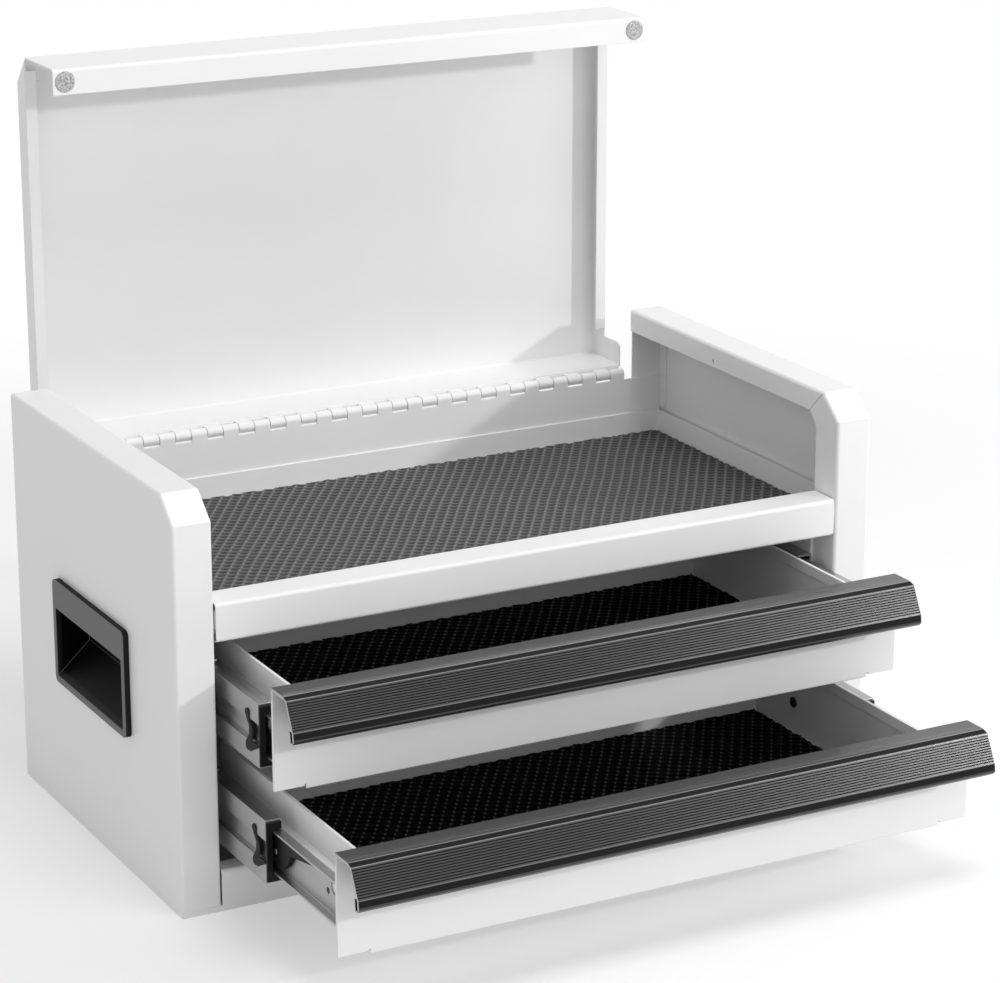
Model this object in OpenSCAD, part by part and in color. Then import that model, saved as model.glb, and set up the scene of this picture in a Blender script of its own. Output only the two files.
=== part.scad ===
// Mini tool chest: a folded sheet steel cabinet with a lift-up lid over a lined top tray,
// two drawers on three-part ball slides and a recessed carrying handle in each side.
// The origin is the middle of the base on the floor, X is the width, -Y the front, +Z up.
// It is drawn with the lid standing open and both drawers pulled part way out.

/* [Cabinet] */
// overall width across the two side panels
body_w = 480; // [430:1:600]
// overall depth from the front of the posts to the back
body_d = 259; // [245:1:330]
// height from the floor to the top of the side panels
body_h = 259; // [250:1:320]
// thickness of the folded sheet steel
sheet = 1; // [0.8:0.1:1.3]
// outside radius of a fold in the sheet
fold_r = 2.2; // [1.4:0.1:3]
// width of each front post
post_w = 25.2; // [22:0.2:32]
// depth of the lip folded back from each post
post_lip = 24.5; // [19:0.5:28]
// depth of the lip folded down along the top of each side
top_lip = 15; // [8:0.5:18]
// depth of the sloping corner at the top of each post
chamfer_d = 17.5; // [10:0.5:22]
// height of the sloping corner at the top of each post
chamfer_h = 15.6; // [12:0.2:19]
// thickness of the base edge that shows under the posts
base_strip = 3.7; // [2.6:0.1:5]
// height of the bottom rail
base_rail_h = 26; // [16:1:30]
// height of the rail above the drawers
rail_h = 24.1; // [18:0.1:28]

/* [Top tray] */
// height of the turned-up edge of the tray
tray_rim_h = 16.5; // [10:0.5:19]
// gap between the tray and each side wall
tray_side_gap = 3.5; // [2:0.5:8]
// thickness of the tray's mat
mat_t = 1.5; // [1:0.1:2]

/* [Lid] */
// angle of the lid from shut
lid_open = 90; // [0:1:90]
// gap between the lid and the side panels
lid_side_gap = 3.8; // [2:0.2:6]
// how far the lid's apron sits behind the post fronts
lid_set_back = 7.5; // [4:0.5:8]
// depth of the flange turned in at the bottom of the apron
lid_return_d = 16.5; // [14:0.5:17]
// width of the lip turned in along each side flange
lid_lip_w = 7.5; // [4:0.5:12]
// radius of the two bumper pads
pad_r = 6.6; // [4:0.2:6.8]

/* [Hinge] */
// number of knuckles, an odd number so both ends belong to the fixed leaf
knuckle_count = 37; // [21:2:41]
// outside radius of a knuckle
knuckle_r = 3.6; // [3.2:0.1:4]
// radius of the hinge pin
pin_r = 1.5; // [1:0.1:1.8]
// thickness of a hinge leaf
leaf_t = 1.2; // [1:0.1:1.4]

/* [Drawers] */
// height of a drawer front with its pull
front_h = 64.5; // [58:0.5:68]
// how far the drawer fronts sit behind the post fronts when shut
front_recess = 17.5; // [14:0.5:19]
// distance the upper drawer stands open
upper_open = 91; // [0:1:200]
// distance the lower drawer stands open
lower_open = 172; // [0:1:200]
// width of each wing of a drawer front beyond the box
wing_w = 20.5; // [17:0.5:24]
// depth of a drawer box behind its front
box_depth = 203; // [190:1:220]
// height of the box walls above the bottom of the front
box_wall_top = 55.3; // [48:0.1:56]

/* [Pulls] */
// depth of the flat top of a pull
pull_top = 14; // [12:0.5:18]
// reach of the lower lip of a pull from the drawer front
pull_reach = 28; // [25:0.5:32]
// height of a pull
pull_h = 25.5; // [22:0.5:28]
// wall thickness of a pull
pull_t = 1.8; // [1.4:0.1:2.2]
// number of ribs on the sloping face of a pull
rib_count = 11; // [6:1:14]

/* [Slides] */
// overall height of a slide
slide_h = 45; // [44:0.5:46]
// overall thickness of a slide
slide_t = 13; // [12.7:0.1:14]
// length of the ball cages at the back of each middle rail
cage_len = 36; // [30:1:60]
// share of the upper drawer's travel made by its middle rails
upper_share = 0.8; // [0.4:0.05:0.85]
// share of the lower drawer's travel made by its middle rails
lower_share = 0.46; // [0.4:0.02:0.8]

/* [Side handles] */
// width of the handle's frame
handle_w = 116; // [104:1:130]
// height of the handle's frame
handle_h = 68; // [60:1:74]
// height of the middle of the handle above the floor
handle_z = 124; // [112:1:128]
// how far the frame stands proud of the side
handle_proud = 4; // [2:0.5:6]
// depth of the finger recess behind the side's outer face
handle_depth = 20; // [16:0.5:21]

/* [Clearances] */
// gap between the bottom rail and the lower drawer
bottom_gap = 5; // [3:0.5:10]
// gap between the two drawer fronts
drawer_gap = 5; // [3:0.5:8]
// gap between the upper drawer and the rail above it
rail_gap = 3.8; // [2:0.2:6]
// gap at each end of a drawer front
front_end_gap = 2.8; // [1.8:0.1:4]
// gap between the shut lid's return flange and the rail
lid_rest_gap = 1.1; // [1:0.1:2]
// running clearance of the hinge pin and the lever studs
run_gap = 0.05; // [0.03:0.01:0.08]
// clearance between the rails of a slide
slide_gap = 0.6; // [0.4:0.05:0.8]
// running clearance of the ball cages inside the fixed rails
cage_gap = 0.3; // [0.2:0.05:0.5]

/* [Hidden] */
$fn = 64;
e = 0.01;
white = [0.93, 0.93, 0.93];
black = [0.08, 0.08, 0.08];
grey = [0.6, 0.6, 0.6];
fold = min(fold_r, 2.6 * sheet);
x_out = body_w / 2;
y_front = -body_d / 2;
y_back = body_d / 2;
x_lip = x_out - post_w;
z_slope = body_h - chamfer_h;
slope_len = norm([chamfer_d, chamfer_h]);

z_low = base_rail_h + bottom_gap;
z_up = z_low + front_h + drawer_gap;
z_rail0 = z_up + front_h + rail_gap;
z_rail1 = z_rail0 + rail_h;
y_lip = y_front + post_lip;
pan_t = 1.2;
end_tab_t = 1.2;
seam_w = 0.5;
rear_tab_d = 9.5;

tray_z = z_rail0 + 0.7;
tray_x = x_out - sheet - tray_side_gap;

y_panel = y_back - 2 * sheet;
y_leaf = y_panel - leaf_t;
z_hinge = z_rail1 + 21.6;
y_hinge = y_leaf + knuckle_r;
leaf_edge = knuckle_r + 0.2;
leaf_h = 34.5;
lid_leaf_full = 24;
lid_leaf_room = 12;
lid_leaf_h = min(lid_leaf_full, body_h - z_hinge - lid_leaf_room);
hinge_x = x_lip - 6.3;
knuckle_len = 2 * hinge_x / knuckle_count;
knuckle_gap = 0.4;

x_lid = x_lip - lid_side_gap;
y_lid = y_front + lid_set_back;
z_apron = z_rail1 + lid_rest_gap;
z_lid_rear = z_hinge + 5;
ear_w = 16;

y_face = y_front + front_recess;
front_t = 2 * sheet;
x_front = x_lip - front_end_gap;
x_box = x_front - wing_w;
y_box0 = y_face + front_t;
y_box = y_box0 + box_depth;
y_bracket = y_leaf - 6.3;
floor_up = 6;
hem_h = 7;
x_mount = x_lip - 1.6;
bracket_t = 1.2;
rail_t = 1.2;
x_rail = x_mount - slide_t;
flange_w = 9.5;
spacer_t = x_rail - x_box;
spacer_h = 20;
slide_up = 27;
mid_h = slide_h - 2 * rail_t - 2 * slide_gap - 2.2;
inner_h = 26.6;
mid_x1 = x_mount - rail_t - 1.8;
rail_y0 = y_box0 + 4;
rail_y1 = y_box - 2;
screw_front_in = 28;
screw_rear_in = 11.4;
screw_pitch = 32;
upper_screw_y = [rail_y0 + screw_front_in, rail_y1 - screw_rear_in];
lower_screw_y = concat(upper_screw_y, [rail_y1 - screw_rear_in - screw_pitch]);
rivet_in = 20;
rivet_y = [rail_y0 + rivet_in, (rail_y0 + rail_y1) / 2, rail_y1 - rivet_in];
lever_in = 92;
lever_y = rail_y0 + lever_in;
lever_len = 51;
lever_up = inner_h / 2 - rail_t - 1.9;
hole_r = 4;
hole_in = screw_front_in - 7.4;
hole_up = 4.2;
collar_out = 1.6;
collar_w = 3.6;
clip_size = slide_h / 45;
relief_w = 1.5;
relief_h = 3.2;
wing_up = 2;
tongue_in = 0.4 * front_t;
tongue_t = 0.35 * front_t;
tongue_h = 6;
groove_gap = 0.05;
rivet_drop = pull_t + tongue_h / 2;
shoulder_w = 4.6;
shoulder_h = 1.4;
band_h = 7.6;
band_out = 0.8;
land_w = 1.05;
rib_deep = 0.5;
groove_half = 0.2;
toe_r = 2.4;
slot_w = 2.4;
hook_t = 1.1;
hook_up = 7;
hook_lean = 0.9;
pull_rivet_x = [-0.75 * x_box, -0.25 * x_box, 0.25 * x_box, 0.75 * x_box];

handle_r = 4;
frame_lap = 2.2;
frame_side = 4;
frame_sill = 4;
grip_band = 18.5;
cup_t = 2;
ramp_h = 20.5;
cup_w = handle_w - 2 * frame_lap;
cup_h = handle_h - 2 * frame_lap;
grip_w = handle_w - 2 * frame_side;
grip_h = handle_h - frame_sill - grip_band;
grip_z0 = handle_z - handle_h / 2 + frame_sill;

// Basic shapes

module block(x0, x1, y0, y1, z0, z1)
    translate([x0, y0, z0]) cube([x1 - x0, y1 - y0, z1 - z0]);

// an outline in the YZ plane carried along X
module along_x(x0, x1)
    translate([x0, 0, 0]) rotate([90, 0, 90]) linear_extrude(height = x1 - x0) children();

module rod_x(x0, x1, y, z, r)
    translate([x0, y, z]) rotate([0, 90, 0]) cylinder(r = r, h = x1 - x0);

module rod_y(y0, y1, x, z, r)
    translate([x, y0, z]) rotate([-90, 0, 0]) cylinder(r = r, h = y1 - y0);

module both_sides() {
    children();
    mirror([1, 0, 0]) children();
}

function unit(v) = v / norm(v);
function turn(v) = [-v.y, v.x];

// the sliver outside a round of radius r at the convex corner p between a and b
module corner_cut(a, p, b, r) {
    u = unit(a - p);
    w = unit(b - p);
    half = acos(u * w) / 2;
    c = p + unit(u + w) * r / sin(half);
    t1 = p + u * r / tan(half);
    t2 = p + w * r / tan(half);
    difference() {
        polygon([c, t1 + (t1 - c) * 0.3, p + (p - c) * 0.3, t2 + (t2 - c) * 0.3]);
        translate(c) circle(r = r);
    }
}

// a polygon with the given radius at each corner, 0 for a sharp one
module rounded(pts, radii) {
    n = len(pts);
    difference() {
        polygon(pts);
        for (i = [0:n - 1])
            if (radii[i] > 0)
                corner_cut(pts[(i + n - 1) % n], pts[i], pts[(i + 1) % n], radii[i]);
    }
}

// rounds the long edge of a block from p to q in the YZ plane, on the face at x0;
// side is 1 where the solid lies on the +X side of that face, -1 where it lies on the -X side
module edge_cut(p, q, x0, side, r) {
    run = norm(q - p);
    turn_up = atan2(q.y - p.y, q.x - p.x);
    translate([x0, p.x, p.y]) rotate([turn_up, 0, 0]) difference() {
        translate([side > 0 ? -1 : -r, -5, -r]) cube([r + 1, run + 10, r + 1]);
        translate([side * r, -6, -r]) rotate([-90, 0, 0]) cylinder(r = r, h = run + 12);
    }
}

// Cabinet

// side outline moved in by i along the post, the slope and the top
function side_outline(i, z0, y1) = [
    [y_front + i, z0],
    [y_front + i, z_slope + i * (chamfer_h - slope_len) / chamfer_d],
    [y_front + chamfer_d + i * (slope_len - chamfer_d) / chamfer_h, body_h - i],
    [y1, body_h - i],
    [y1, z0]];

module side_panel() {
    o = side_outline(0, base_strip, y_back);
    w = side_outline(top_lip, base_strip - 1, y_back + 1);
    window = [[y_lip, base_strip - 1], [y_lip, w[1].y - (y_lip - w[1].x) * 0.2], [y_lip + 8, w[2].y],
        w[3], w[4]];
    down = unit(window[2] - o[2]);
    seam = turn(down) * seam_w / 2;
    difference() {
        along_x(-x_out, -x_lip) polygon(o);
        along_x(-x_out + sheet, -x_lip - sheet)
            polygon(side_outline(sheet, base_strip - 1, y_back + 1));
        along_x(-x_lip - sheet - e, -x_lip + 1) {
            polygon(window);
            polygon([o[2] + down * fold + seam, window[2] + down + seam, window[2] + down - seam,
                o[2] + down * fold - seam]);
        }
        for (i = [0:2]) {
            edge_cut(o[i], o[i + 1], -x_out, 1, fold);
            edge_cut(o[i], o[i + 1], -x_lip, -1, fold);
        }
        along_x(-x_out - 1, -x_out + sheet + 1) square_at(cup_w + 1, cup_h + 1);
        rod_x(-x_lip - 2, -x_lip + 1, 0.08 * body_d, body_h - top_lip + 4, 1.2);
    }
}

module square_at(w, h)
    translate([-w / 2, handle_z - h / 2]) square([w, h]);

module side_panel_left() color(white) side_panel();

module side_panel_right() color(white) mirror([1, 0, 0]) side_panel();

module bottom_pan() color(white) {
    x_pan = x_out - sheet;
    x_end = x_lip - 0.6;
    block(-x_out, x_out, y_front, y_back, 0, pan_t);
    difference() {
        block(-x_out, x_out, y_front, y_back, pan_t - e, base_strip);
        block(-x_out + 3, x_out - 3, y_front + 3, y_back - 3, 0, base_strip + 1);
    }
    both_sides() block(x_pan - pan_t, x_pan, y_lip + 2, y_panel - 2, pan_t - e, 16);
    block(-x_lip + 4, x_lip - 4, y_panel - pan_t, y_panel, pan_t - e, 16);
    along_x(-x_end, x_end) difference() {
        rounded([[y_front, 0], [y_front, base_rail_h], [y_front + 15, base_rail_h], [y_front + 15, 0]],
            [0, fold, fold, 0]);
        polygon([[y_front + pan_t, -1], [y_front + pan_t, base_rail_h - pan_t],
            [y_front + 15 - pan_t, base_rail_h - pan_t], [y_front + 15 - pan_t, pan_t],
            [y_front + 16, pan_t], [y_front + 16, -1]]);
    }
}

module back_panel() color(white)
    block(-x_out + 2 * sheet, x_out - 2 * sheet, y_panel, y_panel + sheet, base_strip,
        z_hinge - knuckle_r - 1);

module rear_corner() {
    z0 = tray_z + tray_rim_h + 1.5;
    top = body_h - sheet;
    block(-x_out + sheet, -x_lip - sheet, y_back - sheet, y_back, base_strip, top);
    along_x(-x_out + sheet, -x_out + 2 * sheet)
        rounded([[y_back - rear_tab_d, z0], [y_back - rear_tab_d, top], [y_back - sheet + e, top],
            [y_back - sheet + e, z0]], [3, 0, 0, 0]);
}

module rear_corners() color(white) both_sides() rear_corner();

module front_rail() color(white) {
    x_end = x_lip - 1;
    y1 = y_lip;
    difference() {
        along_x(-x_end, x_end) difference() {
            rounded([[y_front, z_rail0], [y_front, z_rail1], [y1, z_rail1], [y1, z_rail0 + 1.7]],
                [fold, fold, fold, 0]);
            rounded([[y_front + sheet, z_rail0 + sheet], [y_front + sheet, z_rail1 - sheet],
                [y1 - sheet, z_rail1 - sheet], [y1 - sheet, z_rail0 - 2], [y_front + 11, z_rail0 - 2],
                [y_front + 11, z_rail0 + sheet]], [fold - sheet, fold - sheet, fold - sheet, 0, 0, 0]);
        }
        both_sides() translate([x_end, y_front - 1, z_rail0]) rotate([90, 0, 0]) mirror([0, 0, 1])
            linear_extrude(height = 3) corner_cut([-10, 0], [0, 0], [0, 10], 3);
    }
    both_sides() {
        block(x_end - end_tab_t, x_end, y_front + sheet - e, y_front + 4, z_rail0 + 8, z_rail1 - 5);
        block(x_end - end_tab_t, x_lip, y_front + 4 - e, y1 - 4, z_rail0 + 5, z_rail1 - 5);
    }
}

module top_tray() color(white) difference() {
    block(-tray_x, tray_x, y_lip, y_leaf, tray_z, tray_z + tray_rim_h);
    block(-tray_x + sheet, tray_x - sheet, y_lip + sheet, y_leaf - sheet, tray_z + sheet,
        tray_z + tray_rim_h + 1);
}

module tray_mat() color(black)
    block(-tray_x + sheet + 0.6, tray_x - sheet - 0.6, y_lip + sheet + 0.6, y_leaf - sheet - 0.6,
        tray_z + sheet, tray_z + sheet + mat_t);

// Inner brackets and the fixed rails of the slides

module slide_bracket() difference() {
    union() {
        block(-x_mount - bracket_t, -x_mount, y_lip, y_bracket, pan_t, tray_z);
        block(-x_mount - 10, -x_mount, y_lip, y_lip + bracket_t, pan_t, tray_z);
        block(-x_out + sheet, -x_mount, y_lip, y_bracket, tray_z - bracket_t, tray_z);
        block(-x_out + 3 * sheet, -x_mount, y_lip, y_bracket, pan_t, pan_t + bracket_t);
    }
    rivet_holes();
}

module rivet_holes()
    for (z0 = [z_low, z_up], y = rivet_y)
        rod_x(-x_mount - 3, -x_mount + 3, y, z0 + slide_up, 1.65);

module slide_bracket_left() color(white) slide_bracket();

module slide_bracket_right() color(white) mirror([1, 0, 0]) slide_bracket();

// a shallow channel in the XZ plane, web at x0, flanges reaching to x1
module channel(x0, x1, h, t, y0, y1, z) {
    s = sign(x1 - x0);
    block(min(x0, x0 + s * t), max(x0, x0 + s * t), y0, y1, z - h / 2, z + h / 2);
    for (k = [-1, 1])
        block(min(x0, x1), max(x0, x1), y0, y1, z + k * (h / 2 - t / 2) - t / 2,
            z + k * (h / 2 - t / 2) + t / 2);
}

module cabinet_rails() color(grey) both_sides() difference() {
    for (z0 = [z_low, z_up])
        channel(-x_mount, -x_mount + flange_w, slide_h, rail_t, rail_y0, rail_y1, z0 + slide_up);
    rivet_holes();
}

module slide_rivets() color(grey) both_sides()
    for (z0 = [z_low, z_up], y = rivet_y) {
        rod_x(-x_mount - bracket_t - 0.8, -x_mount - bracket_t, y, z0 + slide_up, 3);
        rod_x(-x_mount - bracket_t - e, -x_mount + rail_t + e, y, z0 + slide_up, 1.6);
        rod_x(-x_mount + rail_t, -x_mount + rail_t + 0.8, y, z0 + slide_up, 3);
    }

// Side handles

module frame_outline(w, h, r)
    rounded([[-w / 2, handle_z - h / 2], [w / 2, handle_z - h / 2], [w / 2, handle_z + h / 2],
        [-w / 2, handle_z + h / 2]], [r, r, r, r]);

// a frame on the side's face, with a cup behind it whose floor is a ramp that starts at the frame's face
module side_handle() {
    z1 = grip_z0 + grip_h;
    z_cup0 = handle_z - cup_h / 2;
    z_cup1 = handle_z + cup_h / 2;
    p = handle_proud;
    d = handle_depth;
    rise = ramp_h / (p + d - cup_t);
    z_ramp = grip_z0 + ramp_h;
    difference() {
        union() {
            along_x(-x_out - p, -x_out) frame_outline(handle_w, handle_h, handle_r);
            translate([-x_out, cup_w / 2, 0]) rotate([90, 0, 0]) linear_extrude(height = cup_w)
                polygon([[-e, z_cup0], [d, z_ramp - cup_t], [d, z_cup1], [-e, z_cup1]]);
        }
        translate([-x_out, grip_w / 2, 0]) rotate([90, 0, 0]) linear_extrude(height = grip_w)
            polygon([[-p - 1, grip_z0 - rise], [d - cup_t, z_ramp], [d - cup_t, z_cup1 - cup_t],
                [cup_t, z_cup1 - cup_t], [cup_t, z1], [-p - 1, z1]]);
    }
}

module side_handle_left() color(black) side_handle();

module side_handle_right() color(black) mirror([1, 0, 0]) side_handle();

// Hinge and lid

function knuckle_x(i) = -hinge_x + i * knuckle_len + knuckle_gap / 2;

// knuckles i0, i0 + 2 and so on, with a tab on the tangent to the leaf; up is 1 or -1
module knuckles(i0, up) difference() {
    for (i = [i0:2:knuckle_count - 1]) {
        x0 = knuckle_x(i);
        x1 = x0 + knuckle_len - knuckle_gap;
        rod_x(x0, x1, y_hinge, z_hinge, knuckle_r);
        block(x0, x1, y_leaf, y_leaf + leaf_t, min(z_hinge, z_hinge + up * (leaf_edge + 1)),
            max(z_hinge, z_hinge + up * (leaf_edge + 1)));
    }
    rod_x(-hinge_x - 1, hinge_x + 1, y_hinge, z_hinge, pin_r + run_gap);
}

module hinge_fixed_leaf() color(white) {
    knuckles(0, -1);
    block(-x_lip + 0.3, x_lip - 0.3, y_leaf, y_panel, z_hinge - leaf_edge - leaf_h, z_hinge - leaf_edge);
}

module hinge_pin() color(grey)
    rod_x(-hinge_x + 0.2, hinge_x - 0.2, y_hinge, z_hinge, pin_r);

// carries a piece drawn on the shut lid to where the lid stands open
module on_lid()
    translate([0, y_hinge, z_hinge]) rotate([-lid_open, 0, 0]) translate([0, -y_hinge, -z_hinge]) children();

module hinge_lid_leaf() color(white) on_lid() {
    knuckles(1, 1);
    block(-hinge_x, hinge_x, y_leaf, y_leaf + leaf_t, z_hinge + leaf_edge + 0.6,
        z_hinge + leaf_edge + lid_leaf_h);
}

function lid_outline(i) = [
    [y_lid + i, z_apron + i],
    [y_lid + i, z_slope + i * (chamfer_h - slope_len) / chamfer_d],
    [y_lid + chamfer_d + i * (slope_len - chamfer_d) / chamfer_h, body_h - i],
    [y_leaf - i, body_h - i]];

module lid_shell() {
    o = lid_outline(0);
    n = lid_outline(sheet);
    r = fold - sheet;
    y_ear = y_leaf - ear_w;
    difference() {
        along_x(-x_lid, x_lid) rounded(concat(o, [[y_leaf, z_lid_rear], [y_leaf - sheet, z_lid_rear],
            [y_leaf - sheet, z_apron]]), [fold, fold, fold, fold, 0, 0, 0]);
        along_x(-x_lid + sheet, x_lid - sheet) rounded(concat(n, [[y_leaf - sheet, z_apron - 9],
            [y_lid + lid_return_d, z_apron - 9], [y_lid + lid_return_d, z_apron + sheet]]),
            [r, r, r, r, 0, 0, 0]);
        both_sides() {
            along_x(x_lid - sheet - e, x_lid + 1) polygon([[y_lid + sheet, z_apron + sheet],
                [y_lid + sheet, z_slope], [y_ear, z_slope], [y_ear, z_hinge + 7],
                [y_leaf + 1, z_hinge + 7], [y_leaf + 1, z_lid_rear - 1], [y_leaf - sheet, z_lid_rear - 1],
                [y_leaf - sheet, z_apron - 9], [y_lid + lid_return_d, z_apron - 9],
                [y_lid + lid_return_d, z_apron + sheet]]);
            along_x(x_lid - 2 * sheet, x_lid + 1)
                corner_cut([y_ear, z_slope], [y_ear, z_hinge + 7], [y_leaf, z_hinge + 7], 4);
            edge_cut(o[1], o[2], x_lid, -1, fold);
            edge_cut(o[2], o[3], x_lid, -1, fold);
        }
    }
}

module lid_panel() color(white) on_lid() {
    lid_shell();
    both_sides()
        block(x_lid - lid_lip_w, x_lid - sheet + e, y_lid + 9, y_leaf - ear_w - 6, z_slope, z_slope + sheet);
}

module lid_pads() color(grey) on_lid() both_sides()
    translate([x_lid - 8, y_lid + lid_return_d / 2, z_apron - 0.8]) cylinder(r = pad_r, h = 0.8);

// Drawers, drawn shut and slid out by open

module slid(open)
    translate([0, -open, 0]) children();

module box_floor(z0)
    block(-x_box, x_box, y_box0, y_box, z0 + floor_up, z0 + floor_up + sheet);

// each side wall is hemmed inwards along its top
module box_sides(z0, screw_y) both_sides() difference() {
    union() {
        block(x_box - sheet, x_box, y_box0, y_box, z0 + floor_up + sheet, z0 + box_wall_top);
        block(x_box - 2 * sheet, x_box - sheet + e, y_box0 + sheet, y_box - sheet, z0 + box_wall_top - hem_h,
            z0 + box_wall_top);
    }
    for (y = screw_y)
        rod_x(x_box - 4, x_box + 1, y, z0 + slide_up, 2.05);
}

// a cross wall of the box, from y to y + sheet
module box_wall(z0, y)
    block(-x_box + sheet, x_box - sheet, y, y + sheet, z0 + floor_up + sheet, z0 + box_wall_top);

module front_shape(z0) {
    z_top = z0 + front_h - pull_t;
    difference() {
        union() {
            along_x(-x_box, x_box) rounded([[y_face, z0], [y_face, z_top], [y_face + front_t, z_top],
                [y_face + front_t, z0]], [1.2, 0, 0, 0.6]);
            block(-x_front, x_front, y_face, y_face + front_t, z0 + wing_up, z_top);
        }
        both_sides() block(x_box, x_box + relief_w, y_face - 1, y_face + front_t + 1, z0, z0 + relief_h);
        block(-x_front - 1, x_front + 1, y_face + tongue_in - groove_gap,
            y_face + tongue_in + tongue_t + groove_gap, z_top - tongue_h - groove_gap, z_top + 1);
        for (x = pull_rivet_x)
            rod_y(y_face - 1, y_face + front_t + 1, x, z0 + front_h - rivet_drop, 1.65);
    }
}

// pull section: x is the reach in front of the drawer face, y the height below the pull's top
rib_start = [pull_top + shoulder_w, -shoulder_h];
rib_end = [pull_reach - band_out, -(pull_h - band_h)];
function pull_slope() = unit(rib_end - rib_start);
function pull_run() = norm(rib_end - rib_start);
function pull_point(t, in) = rib_start + pull_slope() * t - turn(pull_slope()) * in;

module pull_section() {
    run = pull_run();
    pitch = (run - 2 * land_w) / rib_count;
    ribs = [for (i = [0:rib_count - 1], k = [[0.5 - groove_half, 0], [0.5, rib_deep], [0.5 + groove_half, 0]])
        pull_point(land_w + (i + k.x) * pitch, k.y)];
    skin0 = pull_point(0, pull_t);
    skin_top = skin0 + pull_slope() * (skin0.y + pull_t) / -pull_slope().y;
    x_hook = pull_reach - pull_t - slot_w;
    polygon(concat(
        [[-front_t, 0], [pull_top, 0], rib_start],
        ribs,
        [rib_end, [pull_reach, -pull_h + toe_r], [pull_reach - 0.3 * toe_r, -pull_h + 0.3 * toe_r],
            [pull_reach - toe_r, -pull_h],
            [x_hook - hook_t, -pull_h], [x_hook - hook_t - hook_lean, -(pull_h - hook_up)],
            [x_hook - hook_lean, -(pull_h - hook_up)], [x_hook, -(pull_h - hook_t)],
            [x_hook + slot_w, -(pull_h - hook_t)], pull_point(run, pull_t), skin_top, [-tongue_in, -pull_t],
            [-tongue_in, -pull_t - tongue_h], [-tongue_in - tongue_t, -pull_t - tongue_h],
            [-tongue_in - tongue_t, -pull_t], [-front_t, -pull_t]]));
}

module pull_shape(z0) difference() {
    translate([0, y_face, z0 + front_h]) rotate([90, 0, -90]) translate([0, 0, -x_front])
        linear_extrude(height = 2 * x_front) pull_section();
    for (x = pull_rivet_x)
        rod_y(y_face, y_face + front_t, x, z0 + front_h - rivet_drop, 1.65);
}

module pull_rivets(z0)
    for (x = pull_rivet_x) {
        z = z0 + front_h - rivet_drop;
        rod_y(y_face - 0.8, y_face, x, z, 2.8);
        rod_y(y_face - e, y_face + front_t, x, z, 1.6);
    }

module mat_shape(z0)
    block(-x_box + 2 * sheet + 0.6, x_box - 2 * sheet - 0.6, y_box0 + sheet + 0.6, y_box - sheet - 0.6,
        z0 + floor_up + sheet, z0 + floor_up + sheet + mat_t);

// folded standoff that carries the inner rail clear of the box wall
module spacers(z0, screw_y) both_sides() difference() {
    z = z0 + slide_up;
    block(-x_rail, -x_box, rail_y0 + 4, rail_y1 - 2, z - spacer_h / 2, z + spacer_h / 2);
    block(-x_rail + 1, -x_box - 1, rail_y0 + 3, rail_y1, z - spacer_h / 2 + 1, z + spacer_h / 2 - 1);
    for (y = screw_y)
        rod_x(-x_rail - 1, -x_box + 1, y, z, 2.05);
}

module inner_rails(z0, screw_y) both_sides() difference() {
    union() {
        channel(-x_rail, -x_rail - 6, inner_h, rail_t, rail_y0, rail_y1, z0 + slide_up);
        rod_x(-x_rail - 4.6, -x_rail - rail_t + e, lever_y, z0 + slide_up, 2);
    }
    for (y = screw_y)
        rod_x(-x_rail - 3, -x_rail + 1, y, z0 + slide_up, 2.05);
    translate([0, rail_y0 + hole_in, z0 + slide_up + hole_up]) {
        rod_x(-x_rail - 3, -x_rail + 1, 0, 0, hole_r);
        block(-x_rail - 3, -x_rail + 1, -1.6 * hole_r, 0, -hole_r, hole_r);
    }
}

module screws(z0, screw_y) both_sides()
    for (y = screw_y) {
        rod_x(-x_box + sheet, -x_box + sheet + 1.8, y, z0 + slide_up, 3.6);
        rod_x(-x_rail - rail_t, -x_box + sheet + e, y, z0 + slide_up, 1.9);
    }

// the middle rail's web steps in along its centre
module middle_rails(z0) both_sides() {
    z = z0 + slide_up;
    x1 = -mid_x1;
    difference() {
        channel(x1, -x_rail + 0.2, mid_h, rail_t, rail_y0, rail_y1, z);
        block(x1 - 1, x1 + rail_t + e, rail_y0 - 1, rail_y1 + 1, z - 7, z + 7);
    }
    block(x1 + 2.2, x1 + 2.2 + rail_t, rail_y0, rail_y1, z - 8.2, z + 8.2);
    for (k = [-1, 1])
        block(x1, x1 + 2.2 + rail_t, rail_y0, rail_y1, z + k * 7.6 - 0.6, z + k * 7.6 + 0.6);
}

// the rows of balls that carry each middle rail inside its fixed rail
module ball_cages(z0) both_sides() {
    z = z0 + slide_up;
    y1 = rail_y1 - 4;
    inner = mid_h / 2;
    outer = slide_h / 2 - rail_t - cage_gap;
    for (k = [-1, 1])
        block(-mid_x1, -x_mount + flange_w, y1 - cage_len, y1, z + min(k * inner, k * outer),
            z + max(k * inner, k * outer));
}

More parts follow.
